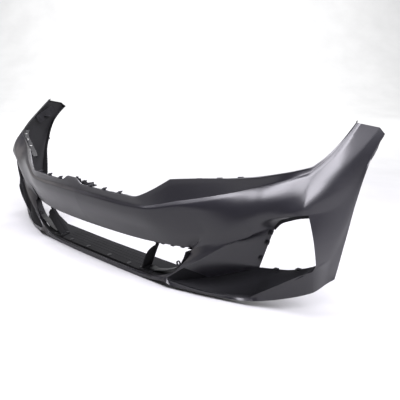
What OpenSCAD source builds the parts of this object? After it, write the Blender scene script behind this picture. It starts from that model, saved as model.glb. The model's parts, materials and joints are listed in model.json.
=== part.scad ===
// Front bumper cover of a saloon car, with the carriers, clips and fixings that stay on it.
// Millimetres. X runs across the car, the nose points to -Y, +Z is up.
// The origin is at the middle of the cover's length, on the level of the lower lip's bottom edge.

/* [Cover] */
// Thickness of the moulded cover, mm
skin_t = 3; // [2.5:0.5:4]
// Depth of the return flange round the lower intake, mm
intake_flange = 16; // [8:1:22]
// Depth of the return flange round each side air opening, mm
side_flange = 14; // [8:1:20]
// Width of the return flange along each wheel arch, mm
arch_flange = 20; // [14:1:24]
// Width of the flange under the lower lip, mm
lip_flange = 30; // [22:1:36]

/* [Lower shelf] */
// Thickness of the black shelf behind the lower lip, mm
shelf_t = 3; // [2.5:0.5:4]
// Rise of the shelf towards the rear, degrees
shelf_slope = 12; // [10:0.5:13]
// Number of stiffening ribs along the shelf
shelf_ribs = 4; // [2:1:5]

/* [Grille clips] */
// Number of grille hooks on each side of the centre
hook_count = 3; // [2:1:3]
// Spacing of the grille hooks, mm
hook_pitch = 80; // [74:1:84]
// Height of the hump on the nose's top edge, mm
hump_h = 19; // [14:1:22]

/* [Fixings] */
// Radius of the screw holes in the brackets, mm
screw_hole_r = 3.2; // [3:0.1:3.6]
// Radius of the thread in the sheet-metal nuts, mm
nut_hole_r = 2.4; // [2.2:0.1:2.6]
// Radius of the expanding rivets' heads, mm
rivet_head_r = 8; // [6:0.5:9]

/* [View] */
// Sub-part to draw

/* [Hidden] */
$fn = 48;

// The feature lines below are measured from the nose and from a level under the lip.
mid_y = 262;
low_z = 8.8;
place = [0, -mid_y, -low_z];

primer = [0.27, 0.27, 0.30];
black = [0.10, 0.10, 0.11];
steel = [0.62, 0.63, 0.65];

// Each feature line runs from the centre plane out to the wheel arch. All have 14 stations:
// 0-3 nose, 4 inner pillar edge, 5 pillar, 6 outer pillar edge, 7 inner side of the air opening,
// 8-10 along the air opening, 11 front corner, 12 side panel, 13 wheel arch.
// Rear edge of the wall that rises behind the grille and the headlamp.
top_edge = [[0,11,312], [150,11,312], [281,18,314], [335,24,317], [441,69,381], [530,103,391],
  [620,142,398], [672,160,405], [708,175,411], [752,198,421], [797,229,433], [831,262,447],
  [855,327,492], [868,418,563]];
// Crease at the foot of that wall.
shoulder = [[0,3,285], [150,7,284], [281,18,281], [370,32,285], [470,67,306], [559,107,328],
  [640,150,352], [690,172,370], [725,184,383], [770,200,400], [803,218,415], [831,245,429],
  [863,322,484], [876,412,558]];
// Top of the bulge in front of the crease.
bulge = [[0,7,250], [150,12,249], [281,24,246], [385,42,250], [520,85,290], [600,113,300],
  [670,135,318], [708,145,332], [740,153,345], [782,168,358], [818,190,373], [842,222,390],
  [882,330,440], [899,497,541]];
// Middle of the front band; ends at the lower corner of the fender joint.
band = [[0,30,200], [150,36,199], [285,50,198], [400,68,200], [549,107,227], [622,116,248],
  [690,132,275], [722,142,292], [752,150,304], [790,161,318], [822,174,333], [849,200,348],
  [888,335,390], [907,517,521]];
// Upper edge of the lower intake, then of the side air opening, then across the side panel.
upper_edge = [[0,58,152], [150,60,153], [290,72,153], [411,92,156], [494,114,158], [590,118,200],
  [705,150,245], [750,194,268], [773,188,292], [812,177,311], [834,180,319], [854,205,320],
  [888,338,340], [905,440,446]];
// Halfway down the openings.
middle = [[0,62,110], [150,66,110], [290,76,110], [395,92,112], [482,102,125], [540,104,150],
  [640,127,207], [722,201,205], [760,215,215], [810,225,225], [848,217,237], [870,212,246],
  [886,318,248], [896,390,330]];
// Foot of the pillar, lower edge of the air opening, then across the side panel.
lower_edge = [[0,66,60], [150,68,60], [290,76,60], [370,85,66], [462,95,100], [505,97,120],
  [560,104,150], [688,206,122], [735,215,128], [782,225,134], [840,225,155], [876,222,174],
  [880,305,185], [888,366,235]];
// Rear of the lip's top face, then the middle of the recess and of the corner shelf.
recess = [[0,80,24], [150,81,24], [280,85,26], [345,82,32], [430,90,66], [450,91,78],
  [478,92,95], [528,148,60], [620,160,62], [720,190,88], [814,208,122], [872,220,164],
  [878,303,165], [881,350,165]];
// Front edge of the lip and of the corner shelf.
shelf_edge = [[0,70,22], [150,71,22], [270,73,24], [330,75,29], [385,79,36], [396,80,40],
  [405,82,42], [414,82,34], [558,115,26], [685,172,32], [790,184,104], [867,219,154],
  [875,300,138], [877,343,128]];
// Lowest edge.
bottom = [[0,72,9], [150,73,9], [270,75,11], [330,76,17], [375,75,25], [395,74,28],
  [412,73,29], [422,79,21], [567,121,18], [693,162,27], [786,207,50], [846,263,70],
  [864,312,90], [873,337,98]];
net = [top_edge, shoulder, bulge, band, upper_edge, middle, lower_edge, recess, shelf_edge, bottom];

// Names of the lines and stations that the openings and creases use.
SHOULDER = 1;
UPPER = 4;
LOWER = 6;
RECESS = 7;
SHELF = 8;
PILLAR_IN = 4;
PILLAR_OUT = 6;
OPEN_IN = 7;
OPEN_MID = 9;
OPEN_OUT = 11;
ARCH = 13;

// Steps between stations and between lines.
col_steps = [8, 3, 3, 3, 2, 3, 2, 3, 3, 3, 3, 4, 4];
row_steps = [1, 3, 3, 3, 3, 3, 2, 2, 1];

function total(v, n, i = 0) = i >= n ? 0 : v[i] + total(v, n, i + 1);
NC = total(col_steps, len(col_steps));
NR = total(row_steps, len(row_steps));
function col_at(k) = total(col_steps, k);
function row_at(k) = total(row_steps, k);

// How sharply a feature line turns at a station: 1 is a crease, 0 is smooth.
function bend_u(r, k) =
  r == 0 && k == PILLAR_IN ? 1
  : r == SHELF && k == OPEN_MID ? 1
  : r >= RECESS && k == OPEN_OUT ? 0.2
  : r >= UPPER && (k == PILLAR_IN || k == PILLAR_OUT || k == OPEN_IN || k == OPEN_OUT) ? 1
  : r == 3 && k == PILLAR_IN ? 0.9
  : 0;
// How sharply the section turns at a feature line.
function bend_v(r, k) =
  r == SHOULDER || (k == ARCH && (r == 2 || r == 3)) ? 1
  : r == SHELF ? (k == ARCH ? 0 : k == ARCH - 1 ? 0.3 : 1)
  : r == UPPER && (k <= PILLAR_IN || (k >= OPEN_IN && k <= OPEN_OUT)) ? 1
  : r == LOWER && k >= OPEN_IN && k <= OPEN_OUT ? 1
  : 0;

// Point at t between p[k] and p[k + 1] of a smooth line that may crease at its points.
function slope(p, k) = (p[k + 1] - p[k]) / max(norm(p[k + 1] - p[k]), 0.001);
function through(p, k) = (p[k + 1] - p[k - 1])
  / max(norm(p[k + 1] - p[k]) + norm(p[k] - p[k - 1]), 0.001);
function tangent(p, w, k, j, far) =
  let (d = slope(p, j), c = k > 0 && k < len(p) - 1 ? w[k] : 1)
  c >= 1 ? 1.5 * d - 0.5 * far : (1 - c) * through(p, k) + c * (1.5 * d - 0.5 * far);
function free_tangent(p, w, k, j) =
  k > 0 && k < len(p) - 1 && w[k] < 1 ? through(p, k) : slope(p, j);
function on_line(p, w, k, t) =
  let (h = norm(p[k + 1] - p[k]),
    m0 = tangent(p, w, k, k, free_tangent(p, w, k + 1, k)) * h,
    m1 = tangent(p, w, k + 1, k, free_tangent(p, w, k, k)) * h)
  (2 * t^3 - 3 * t^2 + 1) * p[k] + (t^3 - 2 * t^2 + t) * m0
  + (3 * t^2 - 2 * t^3) * p[k + 1] + (t^3 - t^2) * m1;

// Stations and creases of every line, resampled.
lines = [for (r = [0 : len(net) - 1])
  let (w = [for (k = [0 : ARCH]) bend_u(r, k)])
  [for (k = [0 : ARCH - 1]) for (s = [0 : col_steps[k] - 1]) on_line(net[r], w, k, s / col_steps[k]),
    net[r][ARCH]]];
creases = [for (r = [0 : len(net) - 1])
  [for (k = [0 : ARCH - 1]) for (s = [0 : col_steps[k] - 1])
    bend_v(r, k) + (bend_v(r, k + 1) - bend_v(r, k)) * s / col_steps[k],
    bend_v(r, ARCH)]];
// The nose's top edge rises to a flat-topped hump, a little to the car's right of the centre.
function ease(t) = let (u = max(0, min(1, t))) u * u * (3 - 2 * u);
hump_x = -28;
function hump(x) = hump_h * ease((69 - abs(x - hump_x)) / 47);
// Sections from the top edge to the bottom edge, one per column.
sections = [for (c = [0 : NC])
  let (p = [for (r = [0 : len(net) - 1]) lines[r][c]],
    w = [for (r = [0 : len(net) - 1]) creases[r][c]])
  [for (r = [0 : len(net) - 2]) for (s = [0 : row_steps[r] - 1]) on_line(p, w, r, s / row_steps[r]),
    p[len(net) - 1]]];

// Openings as [first row, last row, first column, last column]; the intake crosses the centre.
intake = [row_at(UPPER), row_at(RECESS), -1, col_at(PILLAR_IN), intake_flange];
side_opening = [row_at(UPPER), row_at(LOWER), col_at(OPEN_IN), col_at(OPEN_OUT), side_flange];
function inside(o, r, c) = r > o[0] && r < o[1] && c > o[2] && c < o[3];
function edge_row(o, r) = r == o[0] + 1 ? o[0] : r == o[1] - 1 ? o[1] : r;
function edge_col(o, c) = c == o[2] + 1 && o[2] > 0 ? o[2] : c == o[3] - 1 ? o[3] : c;
// Direction away from the opening, across its edge.
function outward(o, r, c) = [c == o[3] ? 1 : c == o[2] ? -1 : 0, 0, r == o[0] ? 1 : r == o[1] ? -1 : 0];

// Return flanges: deeper towards the top and the outer end of the air opening, and turned down at the top.
function fold(o, r, c) =
  let (u = (c - max(o[2], 0)) / (o[3] - max(o[2], 0)), v = (r - o[0]) / (o[1] - o[0]),
    drop = r == o[0] + 1 ? -0.3 * o[4] : 0)
  o[2] < 0 ? [0, o[4], drop]
  : [0, 4 + (o[4] - 4) * ease(0.2 + 1.2 * u - 0.6 * v), drop];
// Width of the flange along the wheel arch: narrow at the tail, widest at the foot.
function arch_width(r) = 4 + (arch_flange - 4) * ease((r - row_at(2)) / row_steps[2])
  + 28 * ease((r - row_at(5)) / (row_at(7) - row_at(5)));

// Flange under the bottom edge: narrows and turns inward towards the wheel arch.
function under(c) =
  let (f = max(0, (c - col_at(8)) / (NC - col_at(8))), a = 125 * f, w = lip_flange * (1 - 0.82 * f))
  [-w * sin(a), w * cos(a), 1];

// Outer surface, with flange rows past the bottom edge and past the wheel arch.
function outer(r, c) =
  let (rr = min(r, NR), cc = min(c, NC))
  inside(intake, r, c) ? sections[edge_col(intake, c)][edge_row(intake, r)] + fold(intake, r, c)
  : inside(side_opening, r, c)
    ? sections[edge_col(side_opening, c)][edge_row(side_opening, r)] + fold(side_opening, r, c)
  : sections[cc][rr] + (r > NR ? under(cc) : [0, 0, 0]) + (c > NC ? [-arch_width(r), 4, 0] : [0, 0, 0]);
function unit(v) = v / max(norm(v), 0.000001);
function at(r, c) = c < 0 ? let (p = outer(r, -c)) [-p[0], p[1], p[2]] : outer(r, c);
// Inward normal; a row or a column past an edge is not looked up.
function inward(r, c) =
  let (a = at(min(r + 1, NR + 1), c) - at(max(r - 1, 0), c),
    b = at(r, min(c + 1, NC + 1)) - at(r, c - 1))
  unit(cross(b, a));
function on_rim(o, r, c) = r >= o[0] && r <= o[1] && c >= o[2] && c <= o[3]
  && (r == o[0] || r == o[1] || c == o[2] || c == o[3]);
function inner(r, c) =
  on_rim(intake, r, c) ? outer(r, c) + skin_t * (inward_plain(r, c) + outward(intake, r, c))
  : on_rim(side_opening, r, c)
    ? outer(r, c) + skin_t * (inward_plain(r, c) + outward(side_opening, r, c))
  : inside(intake, r, c) ? outer(r, c)
    + skin_t * outward(intake, edge_row(intake, r), edge_col(intake, c))
  : inside(side_opening, r, c) ? outer(r, c)
    + skin_t * outward(side_opening, edge_row(side_opening, r), edge_col(side_opening, c))
  : outer(r, c) + skin_t * inward(r, c);
// Inward normal of the panel without the flanges.
function plain(r, c) = let (p = sections[min(abs(c), NC)][min(r, NR)]) c < 0 ? [-p[0], p[1], p[2]] : p;
function inward_plain(r, c) =
  unit(cross(plain(r, c + 1) - plain(r, c - 1), plain(min(r + 1, NR), c) - plain(max(r - 1, 0), c)));

// A cell is open when all of its corners are inside an opening's flange ring.
function hollow(o, r, c) = r > o[0] && r < o[1] - 1 && c > o[2] && c < o[3] - 1;
function open_cell(r, c) =
  let (cc = c < 0 ? -c - 1 : c) hollow(intake, r, cc) || hollow(side_opening, r, cc);

rows = NR + 2;
cols = 2 * (NC + 1) + 1;
function id(r, c) = r * cols + c + NC + 1;
function in_sheet(r, c) = r >= 0 && r <= NR && c >= -NC - 1 && c <= NC && !open_cell(r, c);

module bumper_skin() {
  n = rows * cols;
  half = [for (r = [0 : rows - 1]) [for (c = [0 : NC + 1]) outer(r, c)]];
  back = [for (r = [0 : rows - 1]) [for (c = [0 : NC + 1]) inner(r, c)]];
  mirrored = function (g, r, c)
    let (p = g[r][abs(c)], x = c < 0 ? -p[0] : p[0]) [x, p[1], p[2] + (r == 0 ? hump(x) : 0)];
  points = [for (g = [half, back]) for (r = [0 : rows - 1]) for (c = [-NC - 1 : NC + 1]) mirrored(g, r, c)];
  cells = [for (r = [0 : NR]) for (c = [-NC - 1 : NC]) if (!open_cell(r, c)) [r, c]];
  quads = [for (q = cells) let (r = q[0], c = q[1]) each [
    [id(r, c), id(r + 1, c), id(r + 1, c + 1), id(r, c + 1)],
    [n + id(r, c), n + id(r, c + 1), n + id(r + 1, c + 1), n + id(r + 1, c)]]];
  walls = [for (q = cells) let (r = q[0], c = q[1],
      a = id(r, c), b = id(r, c + 1), d = id(r + 1, c + 1), e = id(r + 1, c)) each [
    if (!in_sheet(r - 1, c)) [b, n + b, n + a, a],
    if (!in_sheet(r + 1, c)) [e, n + e, n + d, d],
    if (!in_sheet(r, c - 1)) [a, n + a, n + e, e],
    if (!in_sheet(r, c + 1)) [d, n + d, n + b, b]]];
  faces = [for (q = concat(quads, walls)) each [[q[0], q[2], q[1]], [q[0], q[3], q[2]]]];
  color(primer)
    translate(place)
      polyhedron(points = points, faces = faces, convexity = 10);
}

// Y and Z on a feature line at a given X.
function y_at(line, x) = lookup(x, [for (p = line) [p[0], p[1]]]);
function z_at(line, x) = lookup(x, [for (p = line) [p[0], p[2]]]);

// Every piece below is drawn at the car's left, which is +X, and mirrored for the right.
module left_of_car(c) {
  color(c)
    translate(place)
      children();
}
module right_of_car(c) {
  left_of_car(c)
    mirror([1, 0, 0])
      children();
}

// Flat plate with rounded corners, lying in XY with its centre on the origin.
module plate(w, d, t, r = 4) {
  linear_extrude(t)
    union() {
      square([w - 2 * r, d], center = true);
      square([w, d - 2 * r], center = true);
      for (x = [-1, 1], y = [-1, 1])
        translate([x * (w / 2 - r), y * (d / 2 - r)])
          circle(r);
    }
}
// Screw or rivet: head on top of z = 0 and shank below it.
module fastener(head_r, head_h, shank_r, shank_l) {
  cylinder(r = head_r, h = head_h);
  translate([0, 0, head_h])
    cylinder(r = head_r * 0.55, h = head_h * 0.35);
  translate([0, 0, -shank_l])
    cylinder(r = shank_r, h = shank_l);
}
// U-shaped clip over the rear edge of a horizontal flange whose lower face is at z = 0.
module edge_clip(w) {
  difference() {
    translate([-w / 2, 0, -2.4])
      cube([w, 14, skin_t + 4.8]);
    translate([-w / 2 - 1, -1, -0.5])
      cube([w + 2, 12.5, skin_t + 1]);
  }
  translate([-w / 4, 4, -4.4])
    cube([w / 2, 6, 2.4]);
}
// Sheet-metal nut: spring plate with a threaded barrel, hole along Z.
module sheet_nut() {
  difference() {
    union() {
      plate(18, 14, 1.5, 2);
      translate([0, 0, 1.5])
        cylinder(r = 4.6, h = 3.5);
    }
    translate([0, 0, -1])
      cylinder(r = nut_hole_r, h = 8);
  }
}

// The shelf's own plane: rises to the rear from just above the lip's flange.
shelf_y = 84;
shelf_z = 28;
shelf_half = [[0, 0], [355, 0], [400, 28], [470, 66], [522, 94], [540, 124], [482, 127], [350, 92],
  [0, 88]];
shelf_rivet_x = [70, 190, 310];
strut_x = 283;
strut_screw_y = [-12, 12];
module on_shelf() {
  translate([0, shelf_y, shelf_z])
    rotate([shelf_slope, 0, 0])
      children();
}
module shelf_outline() {
  for (m = [0, 1])
    mirror([m, 0])
      polygon(shelf_half);
}
module lower_shelf() {
  color(black)
    translate(place)
      on_shelf() {
        difference() {
          linear_extrude(shelf_t)
            shelf_outline();
          for (x = shelf_rivet_x, m = [-1, 1])
            translate([m * x, 10, -1])
              cylinder(r = screw_hole_r, h = shelf_t + 2);
          for (y = strut_screw_y, m = [-1, 1])
            translate([m * (strut_x - 21), 22 + y, -1])
              cylinder(r = screw_hole_r, h = shelf_t + 2);
        }
        for (i = [1 : shelf_ribs])
          translate([-240, 12 + 14 * i, shelf_t - 1])
            cube([480, 1.6, 1.8]);
        translate([-340, 84, -9])
          cube([680, 3, 10.5]);
      }
}
module shelf_rivets() {
  color(black)
    translate(place)
      on_shelf()
        for (x = shelf_rivet_x, m = [-1, 1])
          translate([m * x, 10, shelf_t + 0.2])
            fastener(rivet_head_r, 1.8, screw_hole_r - 0.4, shelf_t + 2);
}

module intake_strut_screws() {
  color(black)
    translate(place)
      on_shelf()
        for (y = strut_screw_y, m = [-1, 1])
          translate([m * (strut_x - 21), 22 + y, shelf_t + 4.6])
            fastener(5.5, 2.4, screw_hole_r - 0.4, 10);
}

// Leaning blade between the shelf and the intake's upper edge, with a curved web in front of it.
strut_foot = [267, 121, 36];
strut_top = [345, 95, 147];
strut_web = [[7, 0], [9, 31], [20, 33], [54, 34], [88, 33], [105, 30], [116, 24], [123, 14], [127, 2]];
module intake_strut() {
  on_shelf()
    translate([strut_x - 16, 22, shelf_t + 1.4])
      difference() {
        plate(30, 42, 3, 5);
        for (y = strut_screw_y)
          translate([-5, y, -1])
            cylinder(r = screw_hole_r, h = 5);
      }
  d = strut_top - strut_foot;
  translate(strut_foot)
    rotate([0, atan2(d[0], d[2]), 0])
      rotate([atan2(-d[1], norm([d[0], d[2]])), 0, 0]) {
        translate([-3, -3, 5])
          cube([6, 12, norm(d) - 7]);
        translate([1.5, 0, 0])
          rotate([0, -90, 0])
            linear_extrude(3)
              polygon([for (p = strut_web) [p[0], -p[1]]]);
      }
  translate([strut_top[0], strut_top[1] + 3, strut_top[2] + 1.4])
    cube([24, 12, 3], center = true);
}

// Strip that follows the inner pillar from the shelf up to the intake's upper corner.
frame_path = [[300, 42], [324, 40], [350, 46], [376, 53], [401, 63], [426, 73], [446, 86], [460, 103], [472, 123],
  [482, 147]];
frame_y = 97;
frame_d = 26;
module intake_corner_frame() {
  n = len(frame_path) - 1;
  side = [for (i = [0 : n])
    let (d = frame_path[min(i + 1, n)] - frame_path[max(i - 1, 0)], u = d / norm(d))
    frame_path[i] + 3 * [-u[1], u[0]]];
  translate([0, frame_y + frame_d, 0])
    rotate([90, 0, 0])
      linear_extrude(frame_d)
        polygon(concat(frame_path, [for (i = [0 : n]) side[n - i]]));
  translate([443.5, frame_y + 5, 99.5])
    rotate([90, 0, 0])
      difference() {
        cylinder(r = 8.6, h = 5);
        translate([0, 0, -1])
          cylinder(r = 5.4, h = 7);
      }
}

// Clips pushed over the flange of the lower intake: [x, y, z, turn about Y].
module intake_edge_clips() {
  for (x = [374, 414, 450, 478])
    translate([x, y_at(upper_edge, x) + intake_flange - 11, z_at(upper_edge, x) - 3])
      edge_clip(14);
  translate([490, 111 + intake_flange - 11, 148])
    rotate([0, 70, 0])
      edge_clip(13);
  translate([482, 103 + intake_flange - 11, 129])
    rotate([0, 60, 0])
      edge_clip(13);
}
// Clips pushed over the flange of the side air opening.
module air_opening_clips() {
  for (p = [[740, 192, 247, -70], [725, 196, 212, -72], [700, 200, 157, -68]])
    translate([p[0], p[1] - 6, p[2]])
      rotate([0, p[3], 0])
        edge_clip(13);
  for (x = [742, 815])
    translate([x, y_at(lower_edge, x) - 4, z_at(lower_edge, x) - 0.4])
      rotate([0, 180 - 8, 0])
        edge_clip(14);
}

// Strip behind the nose wall; its hooks stand over the wall and hold the grille.
strip_in = 96;
strip_out = 326;
strip_x = [96, 150, 205, 260, 300, 326];
module grille_clip_strip(lean = 1) {
  translate([0, 0, 294])
    linear_extrude(14)
      polygon(concat([for (x = strip_x) [x, y_at(top_edge, x) + 6]],
        [for (i = [len(strip_x) - 1 : -1 : 0]) [strip_x[i], y_at(top_edge, strip_x[i]) + 9]]));
  for (i = [0 : hook_count - 1])
    let (x = 100 + i * hook_pitch - 14 * lean)
      translate([x, y_at(top_edge, x) + 8, 300])
        scale([lean, 1, 1]) {
          translate([-7, -2, 0])
            cube([12, 3, 17]);
          translate([0, 1, 14])
            rotate([90, 0, 0])
              linear_extrude(12)
                polygon([[-8, 0], [5, 0], [14, 9], [6, 8]]);
        }
}

// Block on the back of the hump, with two spring prongs and the bolts' tongue behind it.
locator_bolt_x = 30;
module centre_locator() {
  color(black)
    translate(place)
      difference() {
        union() {
          translate([-62, 17, 300])
            cube([114, 6, 14]);
          for (p = [[-2, 334], [14, 329], [30, 320], [46, 327]])
            translate([p[0] - 5, 16.5, 306])
              cube([10, 5, p[1] - 306]);
          translate([0, 44, 300])
            plate(104, 46, 4, 6);
          for (x = [-46, 0, 46])
            translate([x - 1.5, 20, 302])
              cube([3, 36, 14]);
        }
        for (m = [-1, 1])
          translate([m * locator_bolt_x, 48, 290])
            cylinder(r = screw_hole_r + 1, h = 30);
        for (m = [-1, 1])
          translate([m * 12, 30, 312])
            rotate([90, 0, 0])
              cylinder(r = screw_hole_r, h = 20);
      }
}
module centre_locator_screws() {
  color(steel)
    translate(place)
      for (m = [-1, 1])
        translate([m * 12, 23.2, 312])
          rotate([-90, 0, 0])
            fastener(5.5, 2.4, screw_hole_r - 0.4, 7);
}

// Ledge behind the wall under the headlamp, with a comb of locating teeth.
ledge = [[415, 58, 364], [455, 75, 379], [500, 92, 385], [560, 117, 391], [620, 142, 398], [672, 161, 405], [715, 179, 413],
  [752, 198, 421], [790, 222, 431]];
ledge_screws = [2, 4, 6];
module along(a, b) {
  d = b - a;
  translate(a)
    rotate([0, 0, atan2(d[1], d[0])])
      rotate([0, -atan2(d[2], norm([d[0], d[1]])), 0])
        children();
}
module headlamp_bracket() {
  difference() {
    union() {
      for (i = [0 : len(ledge) - 2])
        let (a = ledge[i], b = ledge[i + 1], l = norm(b - a))
          along(a, b) {
            translate([-1, 6, -12])
              cube([l + 2.5, 20, 3]);
            translate([-1, 6, -12])
              cube([l + 2.5, 2.5, 11]);
          }
      for (i = [0 : len(ledge) - 2])
        let (a = ledge[i], b = ledge[i + 1])
          along(a, b)
            translate([norm(b - a) * 0.4 - 5, 22, -25])
              cube([10, 4, 14]);
      for (i = [2, 3, 4])
        along(ledge[i], ledge[i + 1])
          translate([24, 6, -4])
            cube([18, 2.5, 7]);
    }
    for (i = ledge_screws)
      let (a = ledge[i], b = ledge[i + 1])
        along(a, b)
          translate([norm(b - a) * 0.72, 15, -20])
            cylinder(r = screw_hole_r, h = 20);
  }
}
module headlamp_bracket_screws() {
  for (i = ledge_screws)
    let (a = ledge[i], b = ledge[i + 1])
      along(a, b)
        translate([norm(b - a) * 0.72, 15, -8.8])
          fastener(5.5, 2.4, screw_hole_r - 0.4, 9);
}

// Plate inside the top of the side panel, on bosses, that locates the cover on the fender.
fender_screw_r = 4.2;
fender_bolt = [[858, 352, 470], [858, 420, 505]];
module fender_bracket() {
  difference() {
    union() {
      translate([856, 386, 487])
        rotate([27, 0, 0])
          rotate([0, 90, 0])
            plate(44, 112, 3, 8);
      translate([826, 372, 478])
        cube([32, 28, 3]);
      for (p = fender_bolt)
        translate([856, p[1], p[2]])
          rotate([0, 90, 0])
            cylinder(r = 8, h = 19);
    }
    for (p = fender_bolt)
      translate([850, p[1], p[2]])
        rotate([0, 90, 0])
          cylinder(r = screw_hole_r, h = 30);
    translate([838, 386, 470])
      cylinder(r = fender_screw_r, h = 20);
  }
}
module fender_bracket_rivets() {
  for (p = fender_bolt)
    translate([855.8, p[1], p[2]])
      rotate([0, -90, 0])
        fastener(rivet_head_r, 1.8, screw_hole_r - 0.4, 17);
}

// Nuts on the wheel-arch flange, hole along Y: [z, x, y of the flange's middle].
arch_nuts = [[868, 356, 160], [874, 377, 260], [882, 405, 360]];
module arch_liner_nuts() {
  for (p = arch_nuts)
    translate([p[0], p[1], p[2]])
      rotate([-90, 0, 0])
        sheet_nut();
}
tray_nut_x = [120, 265];
module undertray_nuts() {
  color(steel)
    translate(place)
      for (x = tray_nut_x, m = [-1, 1])
        translate([m * x, 91, z_at(bottom, x) + 5.2])
          sheet_nut();
}

bumper_skin();
lower_shelf();
shelf_rivets();
left_of_car(black) intake_strut();  // intake_strut_left
right_of_car(black) intake_strut();  // intake_strut_right
left_of_car(black) intake_corner_frame();  // intake_corner_frame_left
right_of_car(black) intake_corner_frame();  // intake_corner_frame_right
left_of_car(black) intake_edge_clips();  // intake_edge_clips_left
right_of_car(black) intake_edge_clips();  // intake_edge_clips_right
left_of_car(black) air_opening_clips();  // air_opening_clips_left
right_of_car(black) air_opening_clips();  // air_opening_clips_right
left_of_car(primer) grille_clip_strip();  // grille_clip_strip_left
right_of_car(primer) grille_clip_strip(-1);  // grille_clip_strip_right
centre_locator();
centre_locator_screws();
left_of_car(black) headlamp_bracket();  // headlamp_bracket_left
right_of_car(black) headlamp_bracket();  // headlamp_bracket_right
left_of_car(steel) headlamp_bracket_screws();  // headlamp_bracket_screws_left
right_of_car(steel) headlamp_bracket_screws();  // headlamp_bracket_screws_right
left_of_car(black) fender_bracket();  // fender_bracket_left
right_of_car(black) fender_bracket();  // fender_bracket_right
left_of_car(black) fender_bracket_rivets();  // fender_bracket_rivets_left
right_of_car(black) fender_bracket_rivets();  // fender_bracket_rivets_right
left_of_car(steel) arch_liner_nuts();  // arch_liner_nuts_left
right_of_car(steel) arch_liner_nuts();  // arch_liner_nuts_right
undertray_nuts();
intake_strut_screws();
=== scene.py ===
"""Looks of the front bumper cover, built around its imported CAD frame. Metres, same frame as the CAD."""

import json
import math

import bmesh
import bpy
import numpy as np
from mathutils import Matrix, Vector


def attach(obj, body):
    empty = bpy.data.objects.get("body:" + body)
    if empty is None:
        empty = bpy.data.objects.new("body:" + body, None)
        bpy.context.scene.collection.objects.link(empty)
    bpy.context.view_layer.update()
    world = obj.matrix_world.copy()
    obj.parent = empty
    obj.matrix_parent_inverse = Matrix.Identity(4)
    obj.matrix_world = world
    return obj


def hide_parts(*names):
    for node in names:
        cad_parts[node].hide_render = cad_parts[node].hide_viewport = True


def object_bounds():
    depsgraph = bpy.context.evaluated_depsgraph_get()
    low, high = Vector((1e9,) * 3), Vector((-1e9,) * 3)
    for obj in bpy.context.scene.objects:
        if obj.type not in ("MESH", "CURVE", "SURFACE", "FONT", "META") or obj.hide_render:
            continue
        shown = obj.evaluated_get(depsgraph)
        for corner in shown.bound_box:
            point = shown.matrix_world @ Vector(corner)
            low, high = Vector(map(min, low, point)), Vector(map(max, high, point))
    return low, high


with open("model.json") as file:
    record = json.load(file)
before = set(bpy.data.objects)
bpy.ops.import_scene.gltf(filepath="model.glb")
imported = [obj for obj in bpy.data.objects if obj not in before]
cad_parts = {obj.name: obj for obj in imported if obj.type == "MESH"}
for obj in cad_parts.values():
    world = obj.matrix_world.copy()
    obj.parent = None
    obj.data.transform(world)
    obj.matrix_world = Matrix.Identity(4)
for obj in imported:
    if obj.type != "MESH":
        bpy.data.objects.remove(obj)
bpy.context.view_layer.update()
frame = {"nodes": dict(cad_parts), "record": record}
scene = bpy.context.scene

# ---------------------------------------------------------------- the cover's feature lines, millimetres
# The same lines as in the CAD source: from the centre plane out to the wheel arch, 14 stations each,
# measured from the nose and from a level under the lip.
NOSE_Y, LOW_Z = 262.0, 8.8
SKIN_T = 3.0
# The hump on the top edge: its place, its height, and the two distances it fades between.
HUMP_X, HUMP_H, HUMP_END, HUMP_SLOPE = -28.0, 19.0, 69, 47
SHOULDER_STEP, SHOULDER_ROLL, PILLAR_STEP, BEAD, BEAD_FADE = 7.0, 9.0, 8.0, 3.0, 6
INTAKE_FLANGE, SIDE_FLANGE, ARCH_FLANGE, LIP_FLANGE, MIN_FLANGE = 16, 14, 20, 30, 4
LOW_ARCH_FLANGE = 28  # added to the arch flange towards its lower end
ARCH_LEAN = 4  # how far the arch flange's inner edge lies behind its outer one
TOP_EDGE = [(0, 11, 312), (150, 11, 312), (281, 18, 314), (335, 24, 317), (441, 69, 381),
            (530, 103, 391), (620, 142, 398), (672, 160, 405), (708, 175, 411), (752, 198, 421),
            (797, 229, 433), (831, 262, 447), (855, 327, 492), (868, 418, 563)]
SHOULDER_LINE = [(0, 3, 285), (150, 7, 284), (281, 18, 281), (370, 32, 285), (470, 67, 306),
                 (559, 107, 328), (640, 150, 352), (690, 172, 370), (725, 184, 383), (770, 200, 400),
                 (803, 218, 415), (831, 245, 429), (863, 322, 484), (876, 412, 558)]
BULGE = [(0, 7, 250), (150, 12, 249), (281, 24, 246), (385, 42, 250), (520, 85, 290), (600, 113, 300),
         (670, 135, 318), (708, 145, 332), (740, 153, 345), (782, 168, 358), (818, 190, 373),
         (842, 222, 390), (882, 330, 440), (899, 497, 541)]
BAND = [(0, 30, 200), (150, 36, 199), (285, 50, 198), (400, 68, 200), (549, 107, 227), (622, 116, 248),
        (690, 132, 275), (722, 142, 292), (752, 150, 304), (790, 161, 318), (822, 174, 333),
        (849, 200, 348), (888, 335, 390), (907, 517, 521)]
UPPER_EDGE = [(0, 58, 152), (150, 60, 153), (290, 72, 153), (411, 92, 156), (494, 114, 158),
              (590, 118, 200), (705, 150, 245), (750, 194, 268), (773, 188, 292), (812, 177, 311),
              (834, 180, 319), (854, 205, 320), (888, 338, 340), (905, 440, 446)]
MIDDLE = [(0, 62, 110), (150, 66, 110), (290, 76, 110), (395, 92, 112), (482, 102, 125),
          (540, 104, 150), (640, 127, 207), (722, 201, 205), (760, 215, 215), (810, 225, 225),
          (848, 217, 237), (870, 212, 246), (886, 318, 248), (896, 390, 330)]
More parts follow.
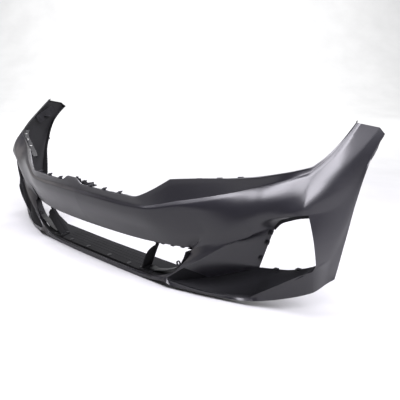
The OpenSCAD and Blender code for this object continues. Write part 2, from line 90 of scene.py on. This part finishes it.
LOWER_EDGE = [(0, 66, 60), (150, 68, 60), (290, 76, 60), (370, 85, 66), (462, 95, 100), (505, 97, 120),
              (560, 104, 150), (688, 206, 122), (735, 215, 128), (782, 225, 134), (840, 225, 155),
              (876, 222, 174), (880, 305, 185), (888, 366, 235)]
RECESS_LINE = [(0, 80, 24), (150, 81, 24), (280, 85, 26), (345, 82, 32), (430, 90, 66), (450, 91, 78),
               (478, 92, 95), (528, 148, 60), (620, 160, 62), (720, 190, 88), (814, 208, 122),
               (872, 220, 164), (878, 303, 165), (881, 350, 165)]
SHELF_EDGE = [(0, 70, 22), (150, 71, 22), (270, 73, 24), (330, 75, 29), (385, 79, 36), (396, 80, 40),
              (405, 82, 42), (414, 82, 34), (558, 115, 26), (685, 172, 32), (790, 184, 104),
              (867, 219, 154), (875, 300, 138), (877, 343, 128)]
BOTTOM = [(0, 72, 9), (150, 73, 9), (270, 75, 11), (330, 76, 17), (375, 75, 25), (395, 74, 28),
          (412, 73, 29), (422, 79, 21), (567, 121, 18), (693, 162, 27), (786, 207, 50), (846, 263, 70),
          (864, 312, 90), (873, 337, 98)]
NET = np.array([TOP_EDGE, SHOULDER_LINE, BULGE, BAND, UPPER_EDGE, MIDDLE, LOWER_EDGE, RECESS_LINE,
                SHELF_EDGE, BOTTOM], float)
SHOULDER, BULGE_ROW, BAND_ROW, UPPER, MID, LOWER, RECESS, SHELF = range(1, 9)
PILLAR_IN, PILLAR_OUT, OPEN_IN, LIP_TURN, OPEN_MID, OPEN_OUT, ARCH = 4, 6, 7, 8, 9, 11, 13

# Slot 2 is the painted-shade finish for the recess floor and the opening flanges.
BACK_SLOT, PAINTED_SHADE_SLOT = 1, 2
FINE = 4
COL_STEPS = [FINE * n for n in (8, 3, 3, 3, 2, 3, 2, 3, 3, 3, 3, 4, 4)]
ROW_STEPS = [FINE * n for n in (2, 3, 3, 3, 3, 3, 2, 2, 1)]
NC, NR = sum(COL_STEPS), sum(ROW_STEPS)


def col_at(k):
    return sum(COL_STEPS[:k])


def row_at(k):
    return sum(ROW_STEPS[:k])


def bend_u(r, k):
    """How sharply feature line r turns at station k: 1 is a crease, 0 is smooth."""
    if r == 0 and k == PILLAR_IN:
        return 1.0
    if r == SHELF and k == OPEN_MID:
        return 1.0
    if r >= RECESS and k == OPEN_OUT:
        return 0.2
    if r >= UPPER and k in (PILLAR_IN, PILLAR_OUT, OPEN_IN, OPEN_OUT):
        return 1.0
    return 0.9 if r == BAND_ROW and k == PILLAR_IN else 0.0


def bend_v(r, k):
    """How sharply the section at station k turns at feature line r."""
    if r == SHOULDER or (k == ARCH and r in (BULGE_ROW, BAND_ROW)):
        return 1.0
    if r == SHELF:
        return {ARCH: 0.0, ARCH - 1: 0.3}.get(k, 1.0)
    if r == UPPER and (k <= PILLAR_IN or OPEN_IN <= k <= OPEN_OUT):
        return 1.0
    return 1.0 if r == LOWER and OPEN_IN <= k <= OPEN_OUT else 0.0


def length(v):
    """Lengths along the last axis, never quite zero, so that they can be divided by."""
    return np.maximum(np.linalg.norm(v, axis=-1, keepdims=True), 0.001)


def slope(p, k):
    d = p[k + 1] - p[k]
    return d / length(d)


def through(p, k):
    return (p[k + 1] - p[k - 1]) / (length(p[k + 1] - p[k]) + length(p[k] - p[k - 1]))


def free_tangent(p, w, k, j):
    if not 0 < k < len(p) - 1:
        return slope(p, j)
    return np.where(w[k] < 1, through(p, k), slope(p, j))


def tangent(p, w, k, j, far):
    sharp = 1.5 * slope(p, j) - 0.5 * far
    if not 0 < k < len(p) - 1:
        return sharp
    return np.where(w[k] >= 1, sharp, (1 - w[k]) * through(p, k) + w[k] * sharp)


def on_line(p, w, k, t):
    """Points at t between p[k] and p[k + 1] of smooth lines that may crease at their points."""
    h = length(p[k + 1] - p[k])
    m0 = tangent(p, w, k, k, free_tangent(p, w, k + 1, k)) * h
    m1 = tangent(p, w, k + 1, k, free_tangent(p, w, k, k)) * h
    return ((2 * t**3 - 3 * t**2 + 1) * p[k] + (t**3 - 2 * t**2 + t) * m0
            + (3 * t**2 - 2 * t**3) * p[k + 1] + (t**3 - t**2) * m1)


def ease(t):
    u = np.clip(t, 0, 1)
    return u * u * (3 - 2 * u)


def sections():
    """The outer surface without its flanges, as points [row][column], for X >= 0."""
    stations = NET.transpose(1, 0, 2)
    wu = np.array([[bend_u(r, k) for r in range(len(NET))] for k in range(ARCH + 1)])[..., None]
    lines, creases = [], []
    wv = np.array([[bend_v(r, k) for r in range(len(NET))] for k in range(ARCH + 1)])
    for k in range(ARCH):
        for s in range(COL_STEPS[k]):
            t = s / COL_STEPS[k]
            lines.append(on_line(stations, wu, k, t))
            creases.append(wv[k] * (1 - t) + wv[k + 1] * t)
    lines.append(stations[ARCH])
    creases.append(wv[ARCH])
    lines = np.array(lines).transpose(1, 0, 2)
    creases = np.array(creases).T[..., None]
    rows = []
    for r in range(len(NET) - 1):
        for s in range(ROW_STEPS[r]):
            rows.append(on_line(lines, creases, r, s / ROW_STEPS[r]))
    rows.append(lines[-1])
    return np.array(rows)


def fillet(grid, row, reach):
    """Rounds the crease along a row: points within reach of it, in millimetres, move onto a short curve."""
    out = grid.copy()
    for c in range(grid.shape[1]):
        before = grid[: row + 1, c][::-1]
        after = grid[row:, c]
        sides = []
        for side in (before, after):
            arc = np.concatenate([[0], np.cumsum(np.linalg.norm(np.diff(side, axis=0), axis=1))])
            sides.append((arc, np.array([np.interp(reach, arc, side[:, i]) for i in range(3)])))
        a, b, p = sides[0][1], sides[1][1], grid[row, c]
        for sign, (arc, _) in ((-1, sides[0]), (1, sides[1])):
            for n, s in enumerate(arc):
                if s >= reach or (n == 0 and sign < 0):
                    continue
                t = 0.5 + sign * 0.5 * s / reach
                out[row + sign * n, c] = (1 - t) ** 2 * a + 2 * t * (1 - t) * p + t * t * b
    return out


def step_back(grid, row, depth):
    """Moves the wall above a row inward by depth, fading to nothing at the top edge."""
    out = grid.copy()
    along = np.gradient(grid[row], axis=0)
    inward = np.stack([-along[:, 1], along[:, 0], np.zeros(len(along))], axis=1)
    inward /= length(inward)
    for r in range(row):
        out[r] += inward * depth * (r / row) ** 0.5
    return out


def pillar_ridge(grid, depth):
    """The wall above the intake dips before the pillar, so that the pillar's edge stands proud."""
    out = grid.copy()
    first, last = col_at(PILLAR_IN - 1), col_at(PILLAR_IN)
    top, bottom = row_at(BAND_ROW), row_at(UPPER)
    for r in range(top, bottom + 1):
        across = ease((r - top) / (bottom - top) * 1.6)
        for c in range(first, last):
            out[r, c, 1] += depth * across * ((c - first) / (last - first)) ** 2
    return out


def bead(grid, row, first, last, rise):
    """Raises a thin rolled edge along a row between two columns, fading at its ends."""
    out = grid.copy()
    for c in range(first, last + 1):
        f = ease((c - first) / BEAD_FADE) * ease((last - c) / BEAD_FADE)
        out[row, c] += f * np.array([0.0, -0.7 * rise, rise])
    return out


def skin_sheet():
    """Outer sheet with its return flanges, as a mesh of quads: the whole width, in metres."""
    grid = pillar_ridge(sections(), PILLAR_STEP)
    grid = bead(grid, row_at(RECESS), col_at(PILLAR_OUT), col_at(OPEN_IN) + FINE, BEAD)
    grid = bead(grid, row_at(SHELF), col_at(PILLAR_OUT), col_at(OPEN_OUT), BEAD)
    grid = fillet(step_back(grid, row_at(SHOULDER), SHOULDER_STEP), row_at(SHOULDER), SHOULDER_ROLL)
    intake = (row_at(UPPER), row_at(RECESS), -1, col_at(PILLAR_IN), INTAKE_FLANGE)
    side = (row_at(UPPER), row_at(LOWER), col_at(OPEN_IN), col_at(OPEN_OUT), SIDE_FLANGE)

    def fold(o, r, c):
        """Return flange: deeper towards the top and the outer end, and turned down along the top."""
        if o[2] < 0:
            return 0, o[4], -0.3 * o[4] if r == o[0] + 1 else 0
        drop = -0.8 * o[4] if r == o[0] + 1 else 0
        aside = -0.35 * o[4] if c == o[3] - 1 else 0
        u = (c - o[2]) / (o[3] - o[2])
        v = (r - o[0]) / (o[1] - o[0])
        return aside, MIN_FLANGE + (o[4] - MIN_FLANGE) * ease(0.2 + 1.2 * u - 0.6 * v), drop

    def arch_width(r):
        upper = ease((r - row_at(BULGE_ROW)) / ROW_STEPS[BULGE_ROW])
        lower = ease((r - row_at(MID)) / (row_at(RECESS) - row_at(MID)))
        return MIN_FLANGE + (ARCH_FLANGE - MIN_FLANGE) * upper + LOW_ARCH_FLANGE * lower

    def outer(r, c):
        for o in (intake, side):
            if o[0] < r < o[1] and o[2] < c < o[3]:
                er = o[0] if r == o[0] + 1 else o[1] if r == o[1] - 1 else r
                ec = o[2] if (c == o[2] + 1 and o[2] > 0) else o[3] if c == o[3] - 1 else c
                return grid[er, ec] + fold(o, r, c)
        p = grid[min(r, NR), min(c, NC)].copy()
        if r > NR:
            f = max(0.0, (c - col_at(LIP_TURN)) / (NC - col_at(LIP_TURN)))
            a, w = math.radians(125 * f), LIP_FLANGE * (1 - 0.82 * f)
            p += (-w * math.sin(a), w * math.cos(a), 1)
        if c > NC:
            p += (-arch_width(r), ARCH_LEAN, 0)
        return p

    def hollow(o, r, c):
        return o[0] < r < o[1] - 1 and o[2] < c < o[3] - 1

    def on_flange(o, r, c):
        return o[0] <= r < o[1] and o[2] <= c < o[3]

    bm = bmesh.new()
    verts = {}

    def vert(r, c):
        if (r, c) not in verts:
            p = outer(r, abs(c))
            x = -p[0] if c < 0 else p[0]
            down = max(0, 1 - r / row_at(SHOULDER)) ** 1.5
            hump = HUMP_H * ease((HUMP_END - abs(x - HUMP_X)) / HUMP_SLOPE) * down
            y, z = p[1] - NOSE_Y, p[2] + hump - LOW_Z
            verts[r, c] = bm.verts.new((x / 1000, y / 1000, z / 1000))
        return verts[r, c]

    for r in range(NR + 1):
        for c in range(-NC - 1, NC + 1):
            cc = -c - 1 if c < 0 else c
            if hollow(intake, r, cc) or hollow(side, r, cc):
                continue
            face = bm.faces.new((vert(r, c), vert(r + 1, c), vert(r + 1, c + 1), vert(r, c + 1)))
            # Faces that get the painted-shade finish: the lower corner recess floor and the return flanges
            # of both openings.
            first = LOWER if cc >= col_at(OPEN_IN) else RECESS
            in_recess = row_at(first) <= r < row_at(SHELF) and col_at(PILLAR_OUT) <= cc < col_at(OPEN_OUT)
            if in_recess or on_flange(intake, r, cc) or on_flange(side, r, cc):
                face.material_index = PAINTED_SHADE_SLOT
    return bm


# ---------------------------------------------------------------- materials
NOISE_LOW, NOISE_HIGH = 0.3, 0.7  # the usual range of a noise texture


def new_material(name):
    m = bpy.data.materials.new(name)
    m.use_nodes = True
    nt = m.node_tree
    nt.nodes.clear()
    out = nt.nodes.new("ShaderNodeOutputMaterial")
    bsdf = nt.nodes.new("ShaderNodeBsdfPrincipled")
    nt.links.new(bsdf.outputs["BSDF"], out.inputs["Surface"])
    coords = nt.nodes.new("ShaderNodeTexCoord")
    return m, nt, bsdf, coords.outputs["Object"]


def noise(nt, coords, scale, detail=4.0, rough=0.55, stretch=None):
    if stretch is not None:
        mapping = nt.nodes.new("ShaderNodeMapping")
        mapping.inputs["Scale"].default_value = stretch
        nt.links.new(coords, mapping.inputs["Vector"])
        coords = mapping.outputs["Vector"]
    n = nt.nodes.new("ShaderNodeTexNoise")
    n.inputs["Scale"].default_value = scale
    n.inputs["Detail"].default_value = detail
    n.inputs["Roughness"].default_value = rough
    nt.links.new(coords, n.inputs["Vector"])
    return n.outputs["Fac"]


def spread(nt, value, low, high):
    """Maps a texture's usual range onto low..high."""
    m = nt.nodes.new("ShaderNodeMapRange")
    m.inputs["From Min"].default_value = NOISE_LOW
    m.inputs["From Max"].default_value = NOISE_HIGH
    m.inputs["To Min"].default_value = low
    m.inputs["To Max"].default_value = high
    nt.links.new(value, m.inputs["Value"])
    return m.outputs["Result"]


def tint(nt, value, dark, light):
    ramp = nt.nodes.new("ShaderNodeValToRGB")
    ramp.color_ramp.elements[0].position = NOISE_LOW
    ramp.color_ramp.elements[0].color = (*dark, 1)
    ramp.color_ramp.elements[1].position = NOISE_HIGH
    ramp.color_ramp.elements[1].color = (*light, 1)
    nt.links.new(value, ramp.inputs["Fac"])
    return ramp.outputs["Color"]


def bump(nt, value, distance, strength, under=None):
    b = nt.nodes.new("ShaderNodeBump")
    b.inputs["Strength"].default_value = strength
    b.inputs["Distance"].default_value = distance
    nt.links.new(value, b.inputs["Height"])
    if under is not None:
        nt.links.new(under, b.inputs["Normal"])
    return b.outputs["Normal"]


def primer_material():
    m, nt, bsdf, co = new_material("satin_primer")
    cloud = noise(nt, co, 6, 3)
    grain = noise(nt, co, 900, 3, 0.6)
    colour = tint(nt, cloud, (0.0046, 0.0042, 0.0062), (0.0062, 0.0058, 0.0082))
    nt.links.new(colour, bsdf.inputs["Base Color"])
    nt.links.new(spread(nt, cloud, 0.29, 0.33), bsdf.inputs["Roughness"])
    peel = bump(nt, noise(nt, co, 260, 2, 0.4), 0.00008, 0.35)
    nt.links.new(bump(nt, grain, 0.00004, 0.5, peel), bsdf.inputs["Normal"])
    bsdf.inputs["Specular IOR Level"].default_value = 0.5
    return m


def moulded_material(name, dark, light, rough, grain_size, grain_depth, shine=0.5, lines=False):
    """Moulded plastic: pebble grain of grain_size metres, with faint flow lines where asked."""
    m, nt, bsdf, co = new_material(name)
    cloud = noise(nt, co, 14, 4)
    nt.links.new(tint(nt, cloud, dark, light), bsdf.inputs["Base Color"])
    nt.links.new(spread(nt, cloud, rough - 0.05, rough + 0.05), bsdf.inputs["Roughness"])
    pebble = nt.nodes.new("ShaderNodeTexVoronoi")
    pebble.feature = "SMOOTH_F1"
    pebble.inputs["Scale"].default_value = 1 / grain_size
    nt.links.new(co, pebble.inputs["Vector"])
    normal = bump(nt, pebble.outputs["Distance"], grain_depth, 0.6)
    if lines:
        flow = noise(nt, co, 60, 3, 0.5, (0.05, 1, 1))
        normal = bump(nt, flow, 0.0006, 0.5, normal)
    bsdf.inputs["Specular IOR Level"].default_value = shine
    nt.links.new(normal, bsdf.inputs["Normal"])
    return m


def steel_material():
    m, nt, bsdf, co = new_material("zinc_plated_steel")
    patch = noise(nt, co, 160, 4)
    nt.links.new(tint(nt, patch, (0.50, 0.50, 0.49), (0.66, 0.66, 0.64)), bsdf.inputs["Base Color"])
    nt.links.new(spread(nt, patch, 0.28, 0.42), bsdf.inputs["Roughness"])
    nt.links.new(bump(nt, noise(nt, co, 1500, 2), 0.00003, 0.4), bsdf.inputs["Normal"])
    bsdf.inputs["Metallic"].default_value = 1.0
    return m


PRIMER = primer_material()
RAW_BACK = moulded_material("raw_plastic_back", (0.006, 0.006, 0.0065), (0.009, 0.009, 0.010), 0.55, 0.0022,
                            0.0001, 0.3)
GRAINED = moulded_material("grained_black_plastic", (0.004, 0.004, 0.0045), (0.008, 0.008, 0.0085), 0.7,
                           0.0016, 0.00025, 0.08, lines=True)
BLACK = moulded_material("plain_black_plastic", (0.004, 0.004, 0.005), (0.008, 0.008, 0.009), 0.5, 0.0009,
                         0.00005, 0.2)
GREY = moulded_material("grey_plastic", (0.022, 0.022, 0.026), (0.030, 0.030, 0.034), 0.5, 0.0009,
                        0.00005, 0.3)
STEEL = steel_material()
# Near-black, barely reflecting finish: painted shade on the recess floor and on the openings' return
# flanges. Its grain and roughness are plastic texture, not shade.
RECESS_PAINTED_SHADE = moulded_material("recess_painted_shade", (0.003, 0.003, 0.0035), (0.005, 0.005, 0.006), 0.6, 0.0012,
                                0.0001, 0.08)

# ---------------------------------------------------------------- the skin
BEVEL_ANGLE, CREASE_BEVEL = math.radians(20), 0.0024
bm = skin_sheet()
bm.normal_update()
turns = [e for e in bm.edges if len(e.link_faces) == 2 and e.calc_face_angle(0) > BEVEL_ANGLE]
bmesh.ops.bevel(bm, geom=turns, offset=CREASE_BEVEL, offset_type="OFFSET", segments=3, profile=0.5,
                affect="EDGES", clamp_overlap=True)
mesh = bpy.data.meshes.new("cover_skin")
bm.to_mesh(mesh)
bm.free()
for material in (PRIMER, RAW_BACK, RECESS_PAINTED_SHADE):
    mesh.materials.append(material)
skin = bpy.data.objects.new("cover_skin", mesh)
scene.collection.objects.link(skin)
solid = skin.modifiers.new("thickness", "SOLIDIFY")
solid.thickness = SKIN_T / 1000
solid.offset = -1
solid.use_even_offset = True
solid.thickness_clamp = 0.6
solid.material_offset = BACK_SLOT
solid.use_quality_normals = True
rim = skin.modifiers.new("rim", "BEVEL")
rim.width = 0.0006
rim.segments = 2
rim.limit_method = "ANGLE"
rim.angle_limit = math.radians(50)
mesh.shade_smooth()
weighted = skin.modifiers.new("normals", "WEIGHTED_NORMAL")
weighted.keep_sharp = True
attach(skin, "root")
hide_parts("bumper_skin")

# ---------------------------------------------------------------- carried-over CAD nodes
LOOKS = {"grained_plastic": GRAINED, "black_plastic": BLACK, "grey_plastic": GREY, "zinc_steel": STEEL,
         "primed_cover": PRIMER}
EDGE_RADIUS = {"zinc_steel": 0.00035, "black_plastic": 0.0006, "grained_plastic": 0.0008,
               "grey_plastic": 0.0006}
slots = {s["node"]: s["material_slot"] for s in frame["record"]["subparts"]}
for name, obj in frame["nodes"].items():
    if name == "bumper_skin":
        continue
    look = slots[name]
    obj.data.materials.clear()
    obj.data.materials.append(LOOKS[look])
    weld = obj.modifiers.new("weld", "WELD")
    weld.merge_threshold = 0.00002
    edge = obj.modifiers.new("edge", "BEVEL")
    edge.width = EDGE_RADIUS[look]
    edge.segments = 2
    edge.limit_method = "ANGLE"
    edge.angle_limit = math.radians(35)
    even = obj.modifiers.new("normals", "WEIGHTED_NORMAL")
    even.keep_sharp = True

# ---------------------------------------------------------------- floor, light and camera
AZIMUTH, ELEVATION = math.radians(44.51), math.radians(14.14)
floor_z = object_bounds()[0].z - 0.0004  # just clear of the lip, so the two never share a plane


def backdrop():
    """Pale floor that curves up into a wall far behind the object."""
    bm = bmesh.new()
    turn, far, top, half, steps = 3.0, 9.0, 8.0, 14.0, 24
    path = [(-9.0, 0.0), (far - turn, 0.0)]
    for i in range(1, steps + 1):
        a = i / steps * math.pi / 2
        path.append((far - turn + turn * math.sin(a), turn - turn * math.cos(a)))
    path.append((far, top))
    ring = [[bm.verts.new((x, d, floor_z + z)) for x in (-half, half)] for d, z in path]
    for a, b in zip(ring, ring[1:]):
        bm.faces.new((a[0], a[1], b[1], b[0]))
    me = bpy.data.meshes.new("floor")
    bm.to_mesh(me)
    bm.free()
    me.shade_smooth()
    ob = bpy.data.objects.new("floor", me)
    ob.rotation_euler = (0, 0, AZIMUTH)
    scene.collection.objects.link(ob)
    m, nt, bsdf, co = new_material("pale_floor")
    colour = tint(nt, noise(nt, co, 3, 3), (0.26, 0.26, 0.26), (0.28, 0.28, 0.28))
    nt.links.new(colour, bsdf.inputs["Base Color"])
    bsdf.inputs["Roughness"].default_value = 0.9
    me.materials.append(m)


backdrop()

world = bpy.data.worlds.new("studio")
scene.world = world
world.use_nodes = True
world.node_tree.nodes["Background"].inputs["Color"].default_value = (0.93, 0.95, 1.0, 1)
world.node_tree.nodes["Background"].inputs["Strength"].default_value = 0.25


def softbox(name, place, aim, size, power, colour):
    data = bpy.data.lights.new(name, "AREA")
    data.shape = "RECTANGLE"
    data.size, data.size_y = size
    data.energy = power
    data.color = colour
    ob = bpy.data.objects.new(name, data)
    ob.location = place
    ob.rotation_euler = (Vector(aim) - Vector(place)).to_track_quat("-Z", "Y").to_euler()
    scene.collection.objects.link(ob)


softbox("top", (0.4, -0.9, 2.9), (0.4, -0.5, 0.0), (4.4, 1.7), 400, (0.94, 0.92, 1.0))
softbox("near_side", (2.9, 0.0, 1.8), (0.8, 0.0, 0.45), (1.8, 1.6), 165, (0.94, 0.92, 1.0))
softbox("near_rear", (2.8, 1.0, 1.35), (0.85, 0.1, 0.45), (1.8, 1.0), 20, (0.94, 0.92, 1.0))
softbox("far_side", (-3.2, -1.4, 1.0), (-0.6, 0.0, 0.3), (2.0, 1.5), 12, (1.0, 0.93, 0.90))
softbox("backdrop_wash", (-2.6, 2.6, 5.0), (-5.0, 5.0, 1.4), (8.0, 2.0), 1700, (1.0, 1.0, 1.0))

cam = bpy.data.cameras.new("camera")
cam.sensor_width = 36
cam.lens = 45.9
cam.clip_end = 100
camera = bpy.data.objects.new("camera", cam)
camera.location = (1.583, -1.222, 0.6932)
camera.rotation_euler = (math.pi / 2 - ELEVATION, 0, AZIMUTH)
scene.collection.objects.link(camera)
scene.camera = camera
scene.view_settings.view_transform = "Standard"

bpy.context.view_layer.update()
